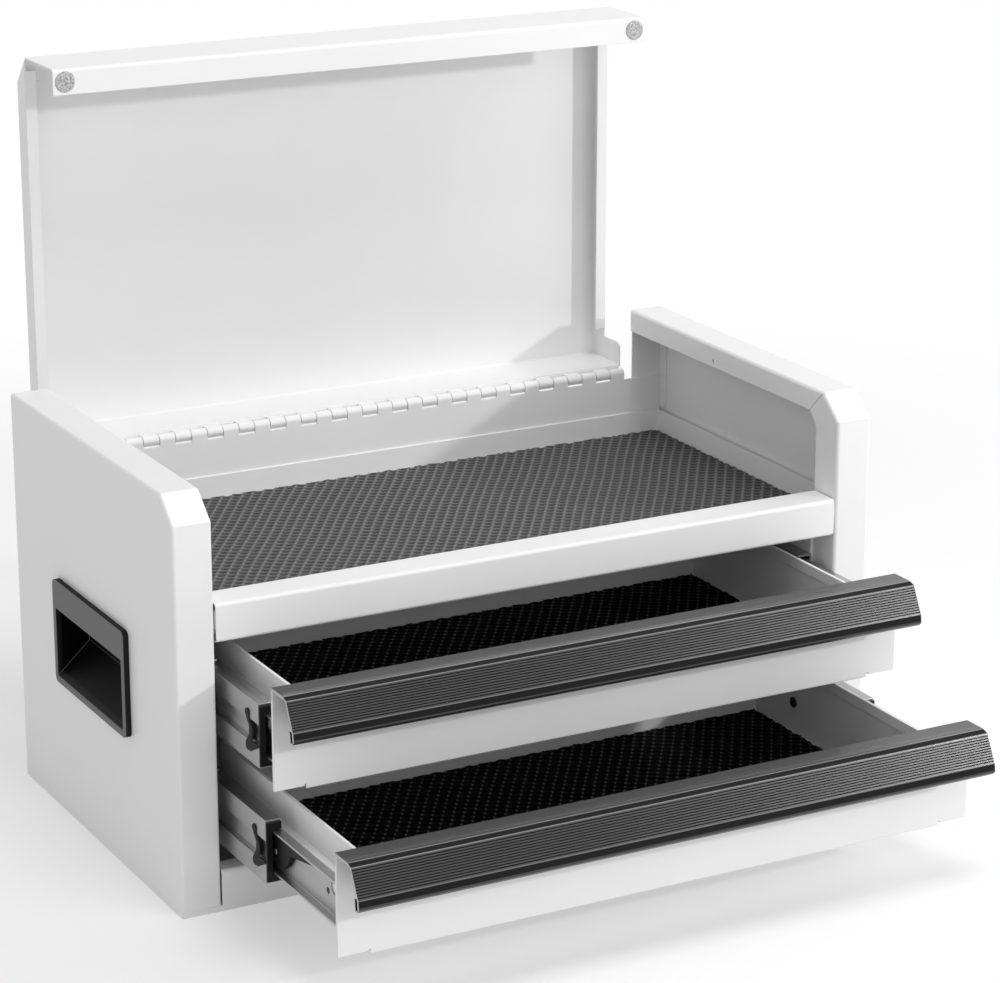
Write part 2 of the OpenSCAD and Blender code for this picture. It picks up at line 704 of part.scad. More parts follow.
// plastic collar on the end of each middle rail and the curved stop clip on the rail's face
module bumpers(z0) both_sides() {
    z = z0 + slide_up;
    x1 = -mid_x1;
    xm = x1 + 2.2;
    y0 = rail_y0 - collar_out;
    for (k = [-1, 1])
        block(x1 + rail_t + 0.2, -x_rail - 0.6, y0, rail_y0 + 8,
            k > 0 ? z + inner_h / 2 + slide_gap : z - mid_h / 2 + rail_t,
            k > 0 ? z + mid_h / 2 - rail_t : z - inner_h / 2 - slide_gap);
    block(x1, x1 + collar_w, y0, rail_y0, z - mid_h / 2 + rail_t, z + mid_h / 2 - rail_t);
    along_x(x1 - 0.7, x1) translate([rail_y0, z]) scale(clip_size) {
        translate([15, 10]) circle(r = 2.6);
        translate([14.5, -10]) circle(r = 3);
        polygon([[17.5, 10.2], [13, 8], [7.6, 2.6], [7, 0.5], [9.4, -6], [0.4, -5.4], [0.4, -7.2],
            [11, -12.8], [17.4, -10.6], [17.2, -8.4], [11.4, -1.6], [11, 1.4], [15.6, 6.6]]);
    }
    along_x(xm - 1.6, xm) translate([rail_y0, z]) scale(clip_size)
        polygon([[9, -5], [15, -5], [15, 5], [9, 5]]);
    along_x(xm - 2.9, xm - 1.6 + e) translate([rail_y0, z]) scale(clip_size)
        polygon([[9.8, 1], [12.2, 1], [12.4, -4], [10.8, -4]]);
}

module lever(z0) difference() {
    x0 = -x_rail - rail_t - 0.4;
    union() {
        rod_x(x0 - 2.6, x0, lever_y, z0 + slide_up, 4.6);
        along_x(x0 - 2.6, x0) translate([lever_y, z0 + slide_up]) polygon([[0, 0.9 * lever_up],
            [-0.28 * lever_len, lever_up], [-lever_len, lever_up], [-0.4 * lever_len, 0.43 * lever_up],
            [-0.29 * lever_len, -0.4 * lever_up], [-0.16 * lever_len, -0.83 * lever_up],
            [0, -0.83 * lever_up]]);
    }
    rod_x(x0 - 4, x0 + 1, lever_y, z0 + slide_up, 2 + run_gap);
}

module upper_floor() color(white) slid(upper_open) box_floor(z_up);
module upper_sides() color(white) slid(upper_open) box_sides(z_up, upper_screw_y);
module upper_back() color(white) slid(upper_open) box_wall(z_up, y_box - sheet);
module upper_front_liner() color(white) slid(upper_open) box_wall(z_up, y_box0);
module upper_front() color(white) slid(upper_open) front_shape(z_up);
module upper_pull() color(black) slid(upper_open) pull_shape(z_up);
module upper_mat() color(black) slid(upper_open) mat_shape(z_up);
module upper_spacers() color(white) slid(upper_open) spacers(z_up, upper_screw_y);
module upper_inner_rails() color(grey) slid(upper_open) inner_rails(z_up, upper_screw_y);
module upper_screws() color(black) slid(upper_open) screws(z_up, upper_screw_y);
module upper_pull_rivets() color(grey) slid(upper_open) pull_rivets(z_up);
module upper_middle_rails() color(grey) slid(upper_open * upper_share) middle_rails(z_up);
module upper_ball_cages() color(grey) slid(upper_open * upper_share) ball_cages(z_up);
module upper_bumpers() color(black) slid(upper_open * upper_share) bumpers(z_up);
module upper_lever_left() color(black) slid(upper_open) lever(z_up);
module upper_lever_right() color(black) slid(upper_open) mirror([1, 0, 0]) lever(z_up);
module lower_floor() color(white) slid(lower_open) box_floor(z_low);
module lower_sides() color(white) slid(lower_open) box_sides(z_low, lower_screw_y);
module lower_back() color(white) slid(lower_open) box_wall(z_low, y_box - sheet);
module lower_front_liner() color(white) slid(lower_open) box_wall(z_low, y_box0);
module lower_front() color(white) slid(lower_open) front_shape(z_low);
module lower_pull() color(black) slid(lower_open) pull_shape(z_low);
module lower_mat() color(black) slid(lower_open) mat_shape(z_low);
module lower_spacers() color(white) slid(lower_open) spacers(z_low, lower_screw_y);
module lower_inner_rails() color(grey) slid(lower_open) inner_rails(z_low, lower_screw_y);
module lower_screws() color(black) slid(lower_open) screws(z_low, lower_screw_y);
module lower_pull_rivets() color(grey) slid(lower_open) pull_rivets(z_low);
module lower_middle_rails() color(grey) slid(lower_open * lower_share) middle_rails(z_low);
module lower_ball_cages() color(grey) slid(lower_open * lower_share) ball_cages(z_low);
module lower_bumpers() color(black) slid(lower_open * lower_share) bumpers(z_low);
module lower_lever_left() color(black) slid(lower_open) lever(z_low);
module lower_lever_right() color(black) slid(lower_open) mirror([1, 0, 0]) lever(z_low);

side_panel_left();
side_panel_right();
bottom_pan();
back_panel();
rear_corners();
front_rail();
top_tray();
tray_mat();
hinge_fixed_leaf();
hinge_pin();
slide_bracket_left();
slide_bracket_right();
slide_rivets();
cabinet_rails();
side_handle_left();
side_handle_right();
lid_panel();
hinge_lid_leaf();
lid_pads();
upper_floor();
upper_sides();
upper_back();
upper_front_liner();
upper_front();
upper_pull();
upper_mat();
upper_spacers();
upper_inner_rails();
upper_screws();
upper_pull_rivets();
upper_middle_rails();
upper_ball_cages();
upper_bumpers();
upper_lever_left();
upper_lever_right();
lower_floor();
lower_sides();
lower_back();
lower_front_liner();
lower_front();
lower_pull();
lower_mat();
lower_spacers();
lower_inner_rails();
lower_screws();
lower_pull_rivets();
lower_middle_rails();
lower_ball_cages();
lower_bumpers();
lower_lever_left();
lower_lever_right();
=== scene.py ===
# %% [markdown]
# # A mini tool chest, dressed for the studio
# The chest is folded from thin steel sheet and powder coated white, with black pulls, handles and
# mats. Its folded panels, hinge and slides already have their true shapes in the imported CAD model,
# so this lesson keeps those solids, gives each one a worked-out finish, and builds new surfaces only
# for what solids show badly: the net-like mats, the felt pads, the pulls and the screws.

import bmesh
import bpy
import numpy as np
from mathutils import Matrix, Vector


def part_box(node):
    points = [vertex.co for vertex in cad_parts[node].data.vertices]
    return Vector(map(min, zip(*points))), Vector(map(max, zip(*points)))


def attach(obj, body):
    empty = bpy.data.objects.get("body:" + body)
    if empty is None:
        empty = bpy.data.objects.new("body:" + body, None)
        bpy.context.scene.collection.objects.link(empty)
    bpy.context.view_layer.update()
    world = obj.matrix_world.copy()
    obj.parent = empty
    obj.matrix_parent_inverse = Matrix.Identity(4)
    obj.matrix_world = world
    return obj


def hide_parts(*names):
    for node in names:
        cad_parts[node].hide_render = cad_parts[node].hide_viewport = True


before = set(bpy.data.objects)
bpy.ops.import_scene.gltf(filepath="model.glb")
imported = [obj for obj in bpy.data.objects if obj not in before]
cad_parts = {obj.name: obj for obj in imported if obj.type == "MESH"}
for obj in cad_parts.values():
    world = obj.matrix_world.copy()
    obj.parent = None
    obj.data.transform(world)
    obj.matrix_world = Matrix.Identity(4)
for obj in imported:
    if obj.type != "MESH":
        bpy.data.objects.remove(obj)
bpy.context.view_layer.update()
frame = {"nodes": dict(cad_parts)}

MM = 0.001
scene = bpy.context.scene
scene.view_settings.view_transform = "Standard"
nodes = frame["nodes"]

# %% [markdown]
# ## Camera
# A product shot is taken from well back with a long lens, so upright edges stay almost parallel.
# The camera stands in front of the chest, to its left and a little above, and looks at a point near
# the middle of the whole open chest. No shift and no depth of field: other views reuse this camera.

# %% Camera
eye = Vector((-0.9358, -1.8230, 0.8327))
aim = Vector((0.04222, 0.0, 0.18799))
camera_data = bpy.data.cameras.new("studio_camera")
camera_data.sensor_width = 36.0
camera_data.lens = 120.93
camera = bpy.data.objects.new("studio_camera", camera_data)
camera.location = eye
camera.rotation_euler = (aim - eye).to_track_quat("-Z", "Y").to_euler()
scene.collection.objects.link(camera)
scene.camera = camera
print("camera distance in metres:", round((aim - eye).length, 3))

# %% [markdown]
# ## Light
# A small lamp low on the right throws the crisp shadows: the lid's flange on its panel, the right
# wall on the hinge strip, the drawers on the left post. A wide lamp overhead brightens everything
# that faces up and makes the apron's long soft shadow on the lid. Two weak wide lamps, in front and
# on the right, lift the hinge strip and the tray, and a pale world fills the rest. Lamp powers
# follow a simple rule: a lamp at distance d lights a white card to its own colour at about ten
# watts times d squared.

# %% Lamps
WATTS_FOR_WHITE = np.pi ** 2
LIT_POINT = Vector((0.0, 0.0, 0.18))


def lamp(name, towards, distance, size, share):
    """A square area lamp on the line from the lit point towards a direction, facing that point.

    Its power is the share of a full white exposure, times pi squared, times the distance squared."""
    data = bpy.data.lights.new(name, "AREA")
    data.size = size
    data.energy = share * WATTS_FOR_WHITE * distance ** 2
    lamp_object = bpy.data.objects.new(name, data)
    lamp_object.location = LIT_POINT + Vector(towards).normalized() * distance
    facing = LIT_POINT - lamp_object.location
    lamp_object.rotation_euler = facing.to_track_quat("-Z", "Y").to_euler()
    scene.collection.objects.link(lamp_object)
    print(name, "watts:", round(data.energy, 1))


lamp("key_lamp", (0.93, -1.0, 0.475), distance=3.2, size=0.14, share=0.265)
lamp("overhead_lamp", (0.06, -0.30, 0.95), distance=2.5, size=0.8, share=0.26)
lamp("front_lamp", (0.1, -1.0, 0.5), distance=3.0, size=1.4, share=0.08)
lamp("side_lamp", (1.0, -0.30, 0.85), distance=2.6, size=0.9, share=0.11)

# %% [markdown]
# ## Floor and background
# The background is plain white. The world shows white to the camera and to reflections, and gives
# the chest a softer fill of its own. The floor is matt white; to the camera it is part matt and part
# glowing, which lifts it to white but keeps the shadow that says the chest stands on it. Further out
# it fades into the background, so there is no horizon line.

# %% Shader helpers
def link(tree, source, target):
    """Joins an output socket to an input socket."""
    tree.links.new(source, target)


def seen_directly(tree):
    """A mask that is 1 for camera, glossy and transmitted rays, and 0 for soft bounced light."""
    path = tree.nodes.new("ShaderNodeLightPath")
    first = tree.nodes.new("ShaderNodeMath")
    first.operation = "MAXIMUM"
    second = tree.nodes.new("ShaderNodeMath")
    second.operation = "MAXIMUM"
    link(tree, path.outputs["Is Camera Ray"], first.inputs[0])
    link(tree, path.outputs["Is Glossy Ray"], first.inputs[1])
    link(tree, first.outputs[0], second.inputs[0])
    link(tree, path.outputs["Is Transmission Ray"], second.inputs[1])
    return second.outputs[0]


def plain_shader(tree, kind, shade=1.0, strength=None):
    """A shader of one grey shade, and of a strength if it gives light."""
    node = tree.nodes.new(kind)
    node.inputs["Color"].default_value = (shade, shade, shade, 1.0)
    if strength is not None:
        node.inputs["Strength"].default_value = strength
    return node.outputs[0]


def add_shaders(tree, first, second):
    """The light of two shaders together."""
    node = tree.nodes.new("ShaderNodeAddShader")
    link(tree, first, node.inputs[0])
    link(tree, second, node.inputs[1])
    return node.outputs[0]


def choose_shader(tree, mask, low, high):
    """The shader low where the mask is 0, and the shader high where it is 1."""
    node = tree.nodes.new("ShaderNodeMixShader")
    link(tree, mask, node.inputs["Fac"])
    link(tree, low, node.inputs[1])
    link(tree, high, node.inputs[2])
    return node.outputs[0]


# %% World
FILL = 0.52
world = bpy.data.worlds.new("white_studio")
world.use_nodes = True
scene.world = world
tree = world.node_tree
tree.nodes.clear()
fill = plain_shader(tree, "ShaderNodeBackground", strength=FILL)
white = plain_shader(tree, "ShaderNodeBackground", strength=1.0)
output = tree.nodes.new("ShaderNodeOutputWorld")
link(tree, choose_shader(tree, seen_directly(tree), fill, white), output.inputs["Surface"])
print("fill from the world:", FILL)

# %% Floor
FLOOR_HALF = 12.0
corners = FLOOR_HALF * np.array([[-1, -1, 0], [1, -1, 0], [1, 1, 0], [-1, 1, 0]])
floor_mesh = bpy.data.meshes.new("studio_floor")
floor_mesh.from_pydata(corners.tolist(), [], [[0, 1, 2, 3]])
studio_floor = bpy.data.objects.new("studio_floor", floor_mesh)
scene.collection.objects.link(studio_floor)
print("floor half width in metres:", FLOOR_HALF)

# %% Floor paint
FLOOR_WHITE, FLOOR_BOUNCE = 0.85, 0.10
SEEN_MATT, SEEN_GLOW = 0.70, 0.33
FADE_FROM, FADE_TO = 0.55, 1.3
floor_paint = bpy.data.materials.new("studio_floor_paint")
floor_paint.use_nodes = True
tree = floor_paint.node_tree
tree.nodes.clear()
lit = add_shaders(tree, plain_shader(tree, "ShaderNodeBsdfDiffuse", FLOOR_WHITE),
                  plain_shader(tree, "ShaderNodeEmission", strength=FLOOR_BOUNCE))
near = add_shaders(tree, plain_shader(tree, "ShaderNodeBsdfDiffuse", SEEN_MATT),
                   plain_shader(tree, "ShaderNodeEmission", strength=SEEN_GLOW))
far = plain_shader(tree, "ShaderNodeEmission", strength=1.0)
place = tree.nodes.new("ShaderNodeTexCoord")
reach = tree.nodes.new("ShaderNodeVectorMath")
reach.operation = "LENGTH"
fade = tree.nodes.new("ShaderNodeMapRange")
fade.interpolation_type = "SMOOTHSTEP"
fade.inputs["From Min"].default_value = FADE_FROM
fade.inputs["From Max"].default_value = FADE_TO
link(tree, place.outputs["Object"], reach.inputs[0])
link(tree, reach.outputs["Value"], fade.inputs["Value"])
seen = choose_shader(tree, fade.outputs["Result"], near, far)
output = tree.nodes.new("ShaderNodeOutputMaterial")
link(tree, choose_shader(tree, seen_directly(tree), lit, seen), output.inputs["Surface"])
floor_mesh.materials.append(floor_paint)
print("floor fades out from", FADE_FROM, "to", FADE_TO, "metres")

# %% [markdown]
# ## Shared finish effects
# Three effects come back in several finishes, so each is one node group. Soft edges rounds every
# fold and cut a little in shading, because real sheet and mouldings have no razor edges. It also
# puts out a mask of those edges, from the cosine of the angle by which the rounding turns the
# surface. Grain gives a fine and a cloudy pattern, for the skin of powder
# coat, plastic or felt. Drawn lines gives the long streaks that rolling and brushing leave in metal.

# %% Group helper
def new_group(name, inputs, outputs):
    """An empty shader group with named sockets; returns the group and its two end nodes."""
    group = bpy.data.node_groups.new(name, "ShaderNodeTree")
    for title, kind, value in inputs:
        socket = group.interface.new_socket(title, in_out="INPUT", socket_type=kind)
        socket.default_value = value
    for title, kind in outputs:
        group.interface.new_socket(title, in_out="OUTPUT", socket_type=kind)
    return group, group.nodes.new("NodeGroupInput"), group.nodes.new("NodeGroupOutput")


# %% Soft edges
EDGE_FROM, EDGE_TO = 0.995, 0.80
soft_edges, given, result = new_group(
    "soft_edges",
    [("Radius", "NodeSocketFloat", 0.0004), ("Height", "NodeSocketFloat", 0.0),
     ("Depth", "NodeSocketFloat", 0.00001)],
    [("Normal", "NodeSocketVector"), ("Edge", "NodeSocketFloat")])
rounding = soft_edges.nodes.new("ShaderNodeBevel")
rounding.samples = 6
relief = soft_edges.nodes.new("ShaderNodeBump")
relief.inputs["Strength"].default_value = 1.0
surface = soft_edges.nodes.new("ShaderNodeNewGeometry")
bend = soft_edges.nodes.new("ShaderNodeVectorMath")
bend.operation = "DOT_PRODUCT"
edge_range = soft_edges.nodes.new("ShaderNodeMapRange")
edge_range.inputs["From Min"].default_value = EDGE_FROM
edge_range.inputs["From Max"].default_value = EDGE_TO
link(soft_edges, given.outputs["Radius"], rounding.inputs["Radius"])
link(soft_edges, rounding.outputs["Normal"], relief.inputs["Normal"])
link(soft_edges, given.outputs["Height"], relief.inputs["Height"])
link(soft_edges, given.outputs["Depth"], relief.inputs["Distance"])
link(soft_edges, surface.outputs["Normal"], bend.inputs[0])
link(soft_edges, rounding.outputs["Normal"], bend.inputs[1])
link(soft_edges, bend.outputs["Value"], edge_range.inputs["Value"])
link(soft_edges, relief.outputs["Normal"], result.inputs["Normal"])
link(soft_edges, edge_range.outputs["Result"], result.inputs["Edge"])

# %% Grain
grain, given, result = new_group(
    "grain",
    [("Fine Scale", "NodeSocketFloat", 1000.0), ("Cloud Scale", "NodeSocketFloat", 10.0)],
    [("Fine", "NodeSocketFloat"), ("Cloud", "NodeSocketFloat")])
place = grain.nodes.new("ShaderNodeTexCoord")
fine = grain.nodes.new("ShaderNodeTexNoise")
fine.inputs["Detail"].default_value = 2.0
cloud = grain.nodes.new("ShaderNodeTexNoise")
cloud.inputs["Detail"].default_value = 3.0
link(grain, place.outputs["Object"], fine.inputs["Vector"])
link(grain, place.outputs["Object"], cloud.inputs["Vector"])
link(grain, given.outputs["Fine Scale"], fine.inputs["Scale"])
link(grain, given.outputs["Cloud Scale"], cloud.inputs["Scale"])
link(grain, fine.outputs["Fac"], result.inputs["Fine"])
link(grain, cloud.outputs["Fac"], result.inputs["Cloud"])

# %% Drawn lines
drawn_lines, given, result = new_group(
    "drawn_lines",
    [("Stretch", "NodeSocketVector", (1.0, 1.0, 1.0))],
    [("Line", "NodeSocketFloat")])
place = drawn_lines.nodes.new("ShaderNodeTexCoord")
stretch = drawn_lines.nodes.new("ShaderNodeVectorMath")
stretch.operation = "MULTIPLY"
streak = drawn_lines.nodes.new("ShaderNodeTexNoise")
streak.inputs["Scale"].default_value = 1.0
streak.inputs["Detail"].default_value = 3.0
link(drawn_lines, place.outputs["Object"], stretch.inputs[0])
link(drawn_lines, given.outputs["Stretch"], stretch.inputs[1])
link(drawn_lines, stretch.outputs["Vector"], streak.inputs["Vector"])
link(drawn_lines, streak.outputs["Fac"], result.inputs["Line"])
print("shared effects:", [group.name for group in bpy.data.node_groups])

# %% [markdown]
# ## Finish builder
# Every finish has the same plan: a pattern mixes two close shades into the colour, maps to a range
# of roughness, and raises the surface a few micrometres. A noise keeps near the middle of its range,
# so NOISE_SPAN, where nearly all of its values lie, is what gets mapped. Values that don't change
# over the surface, such as metalness, are set straight on the shader.

# %% Finish helpers
NOISE_SPAN = (0.3, 0.7)


def use_group(tree, group, **values):
    """Places a shared effect in a material and sets its inputs by name."""
    node = tree.nodes.new("ShaderNodeGroup")
    node.node_tree = group
    for title, value in values.items():
        node.inputs[title.replace("_", " ")].default_value = value
    return node


def shade_mix(tree, mask, dark, light):
    """A grey between two shades, from dark where the mask is 0 to light where it is 1."""
    mix = tree.nodes.new("ShaderNodeMix")
    mix.data_type = "RGBA"
    dark_in, light_in = [socket for socket in mix.inputs if socket.type == "RGBA"]
    link(tree, mask, mix.inputs["Factor"])
    for socket, shade in ((dark_in, dark), (light_in, light)):
        if isinstance(shade, float):
            socket.default_value = (shade, shade, shade, 1.0)
        else:
            link(tree, shade, socket)
    return next(socket for socket in mix.outputs if socket.type == "RGBA")


def value_range(tree, value, source, target):
    """Maps a value straight from the source range to the target range, and stops at its ends."""
    node = tree.nodes.new("ShaderNodeMapRange")
    node.inputs["From Min"].default_value, node.inputs["From Max"].default_value = source
    node.inputs["To Min"].default_value, node.inputs["To Max"].default_value = target
    link(tree, value, node.inputs["Value"])
    return node.outputs["Result"]


def new_finish(name, colour, roughness, height, radius, depth, painted_edge_highlight=None, metallic=0.0):
    """A material from a colour function, a roughness range and a height pattern.

    colour, roughness and height each take the tree and return a socket; the edges are rounded by
    radius, the height pattern stands depth high, and the edge tint, if given, is a lighter shade
    painted on the edges as a highlight."""
    material = bpy.data.materials.new(name)
    material.use_nodes = True
    tree = material.node_tree
    shader = tree.nodes["Principled BSDF"]
    shader.inputs["Metallic"].default_value = metallic
    edges = use_group(tree, soft_edges, Radius=radius, Depth=depth)
    link(tree, height(tree), edges.inputs["Height"])
    link(tree, edges.outputs["Normal"], shader.inputs["Normal"])
    base = colour(tree)
    # Painted highlight: the edges get a lighter shade that stands in for the light they catch.
    if painted_edge_highlight is not None:
        base = shade_mix(tree, edges.outputs["Edge"], base, painted_edge_highlight)
    link(tree, base, shader.inputs["Base Color"])
    link(tree, roughness(tree), shader.inputs["Roughness"])
    print("finish:", name, "nodes:", len(tree.nodes))
    return material, shader


# %% [markdown]
# ## White powder coat
# Powder coat is melted on as a thick, slightly rippled skin, like a fine orange peel. It is white all
# over with hardly any change of shade, and half glossy. So the ripple is a fine noise a few
# micrometres high, the shade drifts by a few parts in a hundred, and the gloss drifts with it.

# %% White powder coat
WHITE_LOW, WHITE_HIGH = 0.86, 0.91


def peel(tree):
    """The ripple of the coat, and its slow drift."""
    return use_group(tree, grain, Fine_Scale=1100.0, Cloud_Scale=14.0)


white_coat, _ = new_finish(
    "white_powder_coat",
    colour=lambda tree: shade_mix(tree, peel(tree).outputs["Cloud"], WHITE_LOW, WHITE_HIGH),
    roughness=lambda tree: value_range(tree, peel(tree).outputs["Cloud"], NOISE_SPAN, (0.34, 0.46)),
    height=lambda tree: peel(tree).outputs["Fine"],
    radius=0.0005, depth=0.000006)

# %% [markdown]
# ## Zinc plated steel
# The slides and their balls, the rivets and the hinge pin are bright zinc over cold rolled strip. The
# streaks run along the slide, front to back, so the noise is stretched along Y.

# %% Zinc plated steel
ZINC_DARK, ZINC_LIGHT = 0.34, 0.56


def zinc_line(tree):
    """Streaks along Y."""
    return use_group(tree, drawn_lines, Stretch=(2200.0, 16.0, 2200.0)).outputs["Line"]


# The edges are painted nearly white as a painted highlight.
zinc_steel, _ = new_finish(
    "zinc_plated_steel",
    colour=lambda tree: shade_mix(tree, zinc_line(tree), ZINC_DARK, ZINC_LIGHT),
    roughness=lambda tree: value_range(tree, zinc_line(tree), NOISE_SPAN, (0.28, 0.44)),
    height=zinc_line, radius=0.0003, depth=0.000004, painted_edge_highlight=0.9, metallic=1.0)

# %% [markdown]
# ## Black anodised aluminium
# The pulls are extruded bars, brushed along their length and anodised black. Anodising is a dark
# clear skin over metal: almost black face on, but a mirror for light that grazes it. The top, the
# nose edge, the two plain lands beside the ribs and the toe carry a painted highlight and reflection:
# a face attribute goes from the dark skin to a light metal colour and makes those faces metallic.
# The streaks run along X and are too fine to see as waves.

# %% Black anodised aluminium
SKIN_DARK, SKIN_LIGHT, PAINTED_SHINE_METAL = 0.004, 0.008, 0.36


def anodised_line(tree):
    """Streaks along X."""
    return use_group(tree, drawn_lines, Stretch=(9.0, 2400.0, 2400.0)).outputs["Line"]


def attribute(tree, name):
    """The value of an attribute of the piece."""
    node = tree.nodes.new("ShaderNodeAttribute")
    node.attribute_name = name
    return node.outputs["Fac"]


def skin_colour(tree):
    """The streaky black of the skin."""
    return shade_mix(tree, anodised_line(tree), SKIN_DARK, SKIN_LIGHT)


def anodised_colour(tree):
    """From the skin to a light metal colour, painted as highlight and reflection, by the face attribute.
    """
    return shade_mix(tree, attribute(tree, "painted_shine"), skin_colour(tree), PAINTED_SHINE_METAL)


anodised, anodised_shader = new_finish(
    "black_anodised_aluminium", colour=anodised_colour,
    roughness=lambda tree: value_range(tree, anodised_line(tree), NOISE_SPAN, (0.26, 0.31)),
    height=anodised_line, radius=0.00005, depth=0.0000002)
anodised_shader.inputs["Specular IOR Level"].default_value = 0.6
# The faces with painted highlight are also made metallic, so they mirror the white surroundings as a
# painted reflection.
link(anodised.node_tree, attribute(anodised.node_tree, "painted_shine"), anodised_shader.inputs["Metallic"])

# %% [markdown]
# ## Dull skin and sawn ends
# The pull's shoulder, its low band and the walls of its grooves are rougher than the rest, so the
# same black skin is dull there. Its two ends are sawn after anodising and show bare aluminium. Masks
# in one material could do this too, but each of these is a whole face of the bar, so a material for
# each is simpler.

# %% Dull skin and sawn ends
dull_band, dull_shader = new_finish(
    "dull_black_band", colour=skin_colour,
    roughness=lambda tree: value_range(tree, anodised_line(tree), NOISE_SPAN, (0.45, 0.55)),
    height=anodised_line, radius=0.00005, depth=0.0000002)
dull_shader.inputs["Specular IOR Level"].default_value = 0.14
cut_end, _ = new_finish(
    "sawn_aluminium_end",
    colour=lambda tree: shade_mix(tree, anodised_line(tree), 0.35, 0.6),
    roughness=lambda tree: value_range(tree, anodised_line(tree), NOISE_SPAN, (0.35, 0.5)),
    height=anodised_line, radius=0.00005, depth=0.000002, metallic=1.0)

# %% [markdown]
# ## Moulded black plastic
# Handles, stops and levers come from a mould whose walls are etched, so the plastic has a fine matt
# grain. Its rounded edges are painted a shade lighter, as a painted highlight. On the handles the
# frame's outer face is painted grey, as a painted sheen, while the cup behind it is painted nearly
# black, as painted shade in the recess: the distance from the middle of the chest along X tells
# the two apart.

# %% Moulded black plastic
def etched(tree):
    """The grain of the mould's walls."""
    return use_group(tree, grain, Fine_Scale=2600.0, Cloud_Scale=30.0)


black_plastic, plastic_shader = new_finish(
    "moulded_black_plastic",
    colour=lambda tree: shade_mix(tree, etched(tree).outputs["Cloud"], 0.004, 0.008),
    roughness=lambda tree: value_range(tree, etched(tree).outputs["Fine"], NOISE_SPAN, (0.42, 0.58)),
    height=lambda tree: etched(tree).outputs["Fine"], radius=0.0005, depth=0.00001, painted_edge_highlight=0.06)
plastic_shader.inputs["Specular IOR Level"].default_value = 0.2

# %% Handle plastic
# Painted shade and sheen: the cup is painted nearly black as shade in its recess, the frame's outer face
# grey as a painted sheen, and the edges get a painted highlight.
CUP_DARK, CUP_LIGHT, FRAME_EDGE, PAINTED_FACE_SHEEN = 0.002, 0.004, 0.02, 0.19
EDGE_BLEND, FACE_FROM, FACE_TO = 1.5 * MM, 0.6 * MM, 0.1 * MM
handle_face = -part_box("side_handle_left")[0][0]
handle_wall = -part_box("side_panel_left")[0][0]


def out_along_x(tree, start, end):
    """A mask that goes from 0 to 1 between two distances from the middle of the chest along X."""
    place = tree.nodes.new("ShaderNodeTexCoord")
    split = tree.nodes.new("ShaderNodeSeparateXYZ")
    size = tree.nodes.new("ShaderNodeMath")
    size.operation = "ABSOLUTE"
    link(tree, place.outputs["Object"], split.inputs[0])
    link(tree, split.outputs["X"], size.inputs[0])
    return value_range(tree, size.outputs[0], (start, end), (0.0, 1.0))


def handle_colour(tree):
    """Painted shade and sheen: nearly black in the cup, as painted shade in its recess; dark grey on the
    frame's edge; and grey on the frame's outer face, as a painted sheen.
    """
    cup = shade_mix(tree, etched(tree).outputs["Cloud"], CUP_DARK, CUP_LIGHT)
    on_edge = out_along_x(tree, handle_wall, handle_wall + EDGE_BLEND)
    on_face = out_along_x(tree, handle_face - FACE_FROM, handle_face - FACE_TO)
    return shade_mix(tree, on_face, shade_mix(tree, on_edge, cup, FRAME_EDGE), PAINTED_FACE_SHEEN)


handle_plastic, handle_shader = new_finish(
    "handle_plastic", colour=handle_colour,
    roughness=lambda tree: value_range(tree, etched(tree).outputs["Fine"], NOISE_SPAN, (0.42, 0.58)),
    height=lambda tree: etched(tree).outputs["Fine"], radius=0.0008, depth=0.00001, painted_edge_highlight=0.30)
handle_shader.inputs["Specular IOR Level"].default_value = 0.05

# %% [markdown]
# ## Black oxide
# The screws are blacked steel: a thin dark skin that is a little uneven and slightly shiny. Their
# heads are only a few millimetres wide, so a cloudy mix of two dark shades is enough.

# %% Black oxide
def blacking(tree):
    """The uneven skin of blacked steel."""
    return use_group(tree, grain, Fine_Scale=1800.0, Cloud_Scale=160.0)


# The edges are painted a little lighter as a painted highlight.
black_oxide, _ = new_finish(
    "black_oxide_steel",
    colour=lambda tree: shade_mix(tree, blacking(tree).outputs["Cloud"], 0.012, 0.035),
    roughness=lambda tree: value_range(tree, blacking(tree).outputs["Fine"], NOISE_SPAN, (0.30, 0.48)),
    height=lambda tree: blacking(tree).outputs["Fine"], radius=0.0002, depth=0.000006,
    painted_edge_highlight=0.10, metallic=0.5)

# %% [markdown]
# ## Give the solids their finishes
# Each solid keeps its shape and gets one of the finishes above. Most of the chest is white, so only
# the others are listed by name.

# %% Finishes on the solids
DRAWERS = ("upper", "lower")
zinc_nodes = ["hinge_pin", "slide_rivets", "cabinet_rails"] + [
    f"{drawer}_{piece}" for drawer in DRAWERS
    for piece in ("inner_rails", "pull_rivets", "middle_rails", "ball_cages")]
plastic_nodes = [f"{drawer}_{piece}" for drawer in DRAWERS
                 for piece in ("bumpers", "lever_left", "lever_right")]
finish_of = dict.fromkeys(nodes, white_coat)
finish_of.update(dict.fromkeys(zinc_nodes, zinc_steel))
finish_of.update(dict.fromkeys(plastic_nodes, black_plastic))
finish_of.update({f"side_handle_{side}": handle_plastic for side in ("left", "right")})
finish_of.update({f"{drawer}_pull": anodised for drawer in DRAWERS})
finish_of.update({f"{drawer}_screws": black_oxide for drawer in DRAWERS})
for name, finish in finish_of.items():
    for slot in nodes[name].material_slots:
        slot.material = finish
print("white solids:", sum(finish is white_coat for finish in finish_of.values()))

# %% [markdown]
# ## Surfaces from arrays
# New pieces are grids of points. One helper numbers the four-sided faces of a grid, another puts
# points and faces into a mesh, merges the doubled points at seams and poles, and turns the faces
# outwards.

# %% Grid helpers
MERGE_DISTANCE = 1e-6


